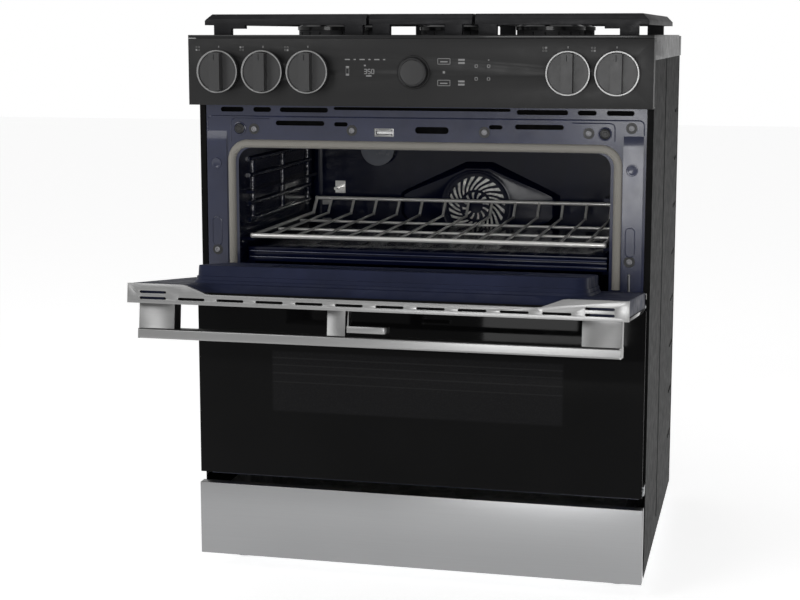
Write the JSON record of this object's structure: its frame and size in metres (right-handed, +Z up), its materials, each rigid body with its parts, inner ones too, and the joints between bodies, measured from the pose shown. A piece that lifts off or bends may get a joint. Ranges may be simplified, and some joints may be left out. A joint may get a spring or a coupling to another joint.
{
  "type": "freestanding gas range",
  "caption": "Slide-in gas range with split oven door, storage drawer, cast grates, control panel with push-turn knobs and a dial, and convection oven.",
  "frame": {"origin": "on the floor, in the middle of the range's footprint with the upper door open as stored", "axes": "+Z up, -Y towards the user at the front, +X to the user's right"},
  "size_m": [0.76, 0.9526, 0.948],
  "materials": {
    "black_enamel": "gloss",
    "black_satin_panel": "satin",
    "side_black": "satin",
    "blue_enamel": "gloss",
    "galvanised": "satin",
    "stainless": "brushed",
    "chrome_wire": "polished",
    "cast_iron": "matt enamel",
    "aluminium_cast": "cast",
    "black_glass": "gloss",
    "clear_glass": "gloss",
    "frosted_glass": "frosted",
    "gasket_glass": "woven glass fibre",
    "insulation_wool": "glass wool",
    "brass_valve": "machined",
    "board_green": "matt",
    "black_plastic": "satin",
    "ceramic_white": "glazed",
    "motor_grey": "satin",
    "pipe_steel": "satin"
  },
  "bodies": {
    "range_body": {"base_pan": "galvanised", "leveling_feet": "pipe_steel", "left_side_panel": "side_black", "right_side_panel": "side_black", "back_panel": "galvanised", "cooktop": "black_enamel", "rear_vent_trim": "black_enamel", "control_panel": "black_satin_panel", "control_board": "board_green", "oven_cavity": "blue_enamel", "oven_front_frame": "blue_enamel", "door_gasket": "gasket_glass", "insulation": "insulation_wool", "oven_divider": "blue_enamel", "lower_rack": "chrome_wire", "fan_cover": "blue_enamel", "fan_motor": "motor_grey", "oven_lamp": "ceramic_white", "lamp_lens": "frosted_glass", "temperature_sensor": "chrome_wire", "bake_burner": "pipe_steel", "broil_burner": "pipe_steel", "gas_manifold": "pipe_steel", "gas_valves": "brass_valve", "burner_heads": "aluminium_cast", "burner_caps": "black_enamel", "gas_inlet": "pipe_steel", "power_inlet": "black_plastic", "drawer_rails": "galvanised", "frame_screws": "black_plastic", "door_latch": "chrome_wire", "hinge_brackets": "galvanised"},
    "upper_rack": {"upper_rack": "chrome_wire"},
    "fan": {"convection_fan": "aluminium_cast"},
    "grate_left": {"grate_left": "cast_iron"},
    "grate_center": {"grate_center": "cast_iron"},
    "grate_right": {"grate_right": "cast_iron"},
    "dial": {"dial": "black_plastic"},
    "lower_door": {"lower_door_glass": "black_glass", "lower_door_liner": "blue_enamel", "lower_inner_glass": "clear_glass", "hinge_arms": "galvanised"},
    "upper_door": {"upper_door_glass": "black_glass", "upper_door_liner": "blue_enamel", "upper_inner_glass": "clear_glass", "top_cap": "stainless", "door_handle": "stainless"},
    "lever": {"door_lever": "stainless"},
    "drawer": {"drawer_front": "stainless", "drawer_box": "galvanised"},
    "knob_1": {"knob_1": "black_plastic"},
    "stem_1": {"valve_stem_1": "brass_valve"},
    "knob_2": {"knob_2": "black_plastic"},
    "stem_2": {"valve_stem_2": "brass_valve"},
    "knob_3": {"knob_3": "black_plastic"},
    "stem_3": {"valve_stem_3": "brass_valve"},
    "knob_4": {"knob_4": "black_plastic"},
    "stem_4": {"valve_stem_4": "brass_valve"},
    "knob_5": {"knob_5": "black_plastic"},
    "stem_5": {"valve_stem_5": "brass_valve"}
  },
  "joints": [
    {"name": "lower_door", "type": "hinge", "parent": "range_body", "child": "lower_door", "pos_m": [0, -0.15968, 0.182], "axis": [1, 0, 0], "range_deg": [0, 88]},
    {"name": "upper_door", "type": "hinge", "parent": "lower_door", "child": "upper_door", "pos_m": [0, -0.16769, 0.486], "axis": [-1, 0, 0], "range_deg": [0, 83.5]},
    {"name": "lever_squeeze", "type": "slide", "parent": "upper_door", "child": "lever", "axis": [0, -0.1132, -0.9936], "range_m": [0, 0.005], "stiffness_N_per_m": 1500, "springref_m": -0.001},
    {"name": "drawer_slide", "type": "slide", "parent": "range_body", "child": "drawer", "axis": [0, -1, 0], "range_m": [0, 0.38]},
    {"name": "upper_rack_slide", "type": "slide", "parent": "range_body", "child": "upper_rack", "axis": [0, -1, 0], "range_m": [0, 0.26]},
    {"name": "fan_spin", "type": "hinge", "parent": "range_body", "child": "fan", "pos_m": [0.011, 0.31432, 0.591], "axis": [0, 1, 0], "continuous": true},
    {"name": "dial_turn", "type": "hinge", "parent": "range_body", "child": "dial", "pos_m": [0, -0.18568, 0.855], "axis": [0, -1, 0], "continuous": true},
    {"name": "grate_left_lift", "type": "slide", "parent": "range_body", "child": "grate_left", "axis": [0, 0, 1], "range_m": [0, 0.06]},
    {"name": "grate_center_lift", "type": "slide", "parent": "range_body", "child": "grate_center", "axis": [0, 0, 1], "range_m": [0, 0.06]},
    {"name": "grate_right_lift", "type": "slide", "parent": "range_body", "child": "grate_right", "axis": [0, 0, 1], "range_m": [0, 0.06]},
    {"name": "knob_1_push", "type": "slide", "parent": "range_body", "child": "stem_1", "axis": [0, 1, 0], "range_m": [0, 0.004], "stiffness_N_per_m": 900, "springref_m": -0.001},
    {"name": "knob_1_turn", "type": "hinge", "parent": "stem_1", "child": "knob_1", "pos_m": [-0.325, -0.18568, 0.855], "axis": [0, -1, 0], "range_deg": [0, 270]},
    {"name": "knob_2_push", "type": "slide", "parent": "range_body", "child": "stem_2", "axis": [0, 1, 0], "range_m": [0, 0.004], "stiffness_N_per_m": 900, "springref_m": -0.001},
    {"name": "knob_2_turn", "type": "hinge", "parent": "stem_2", "child": "knob_2", "pos_m": [-0.249, -0.18568, 0.855], "axis": [0, -1, 0], "range_deg": [0, 270]},
    {"name": "knob_3_push", "type": "slide", "parent": "range_body", "child": "stem_3", "axis": [0, 1, 0], "range_m": [0, 0.004], "stiffness_N_per_m": 900, "springref_m": -0.001},
    {"name": "knob_3_turn", "type": "hinge", "parent": "stem_3", "child": "knob_3", "pos_m": [-0.173, -0.18568, 0.855], "axis": [0, -1, 0], "range_deg": [0, 270]},
    {"name": "knob_4_push", "type": "slide", "parent": "range_body", "child": "stem_4", "axis": [0, 1, 0], "range_m": [0, 0.004], "stiffness_N_per_m": 900, "springref_m": -0.001},
    {"name": "knob_4_turn", "type": "hinge", "parent": "stem_4", "child": "knob_4", "pos_m": [0.249, -0.18568, 0.855], "axis": [0, -1, 0], "range_deg": [0, 270]},
    {"name": "knob_5_push", "type": "slide", "parent": "range_body", "child": "stem_5", "axis": [0, 1, 0], "range_m": [0, 0.004], "stiffness_N_per_m": 900, "springref_m": -0.001},
    {"name": "knob_5_turn", "type": "hinge", "parent": "stem_5", "child": "knob_5", "pos_m": [0.325, -0.18568, 0.855], "axis": [0, -1, 0], "range_deg": [0, 270]}
  ]
}
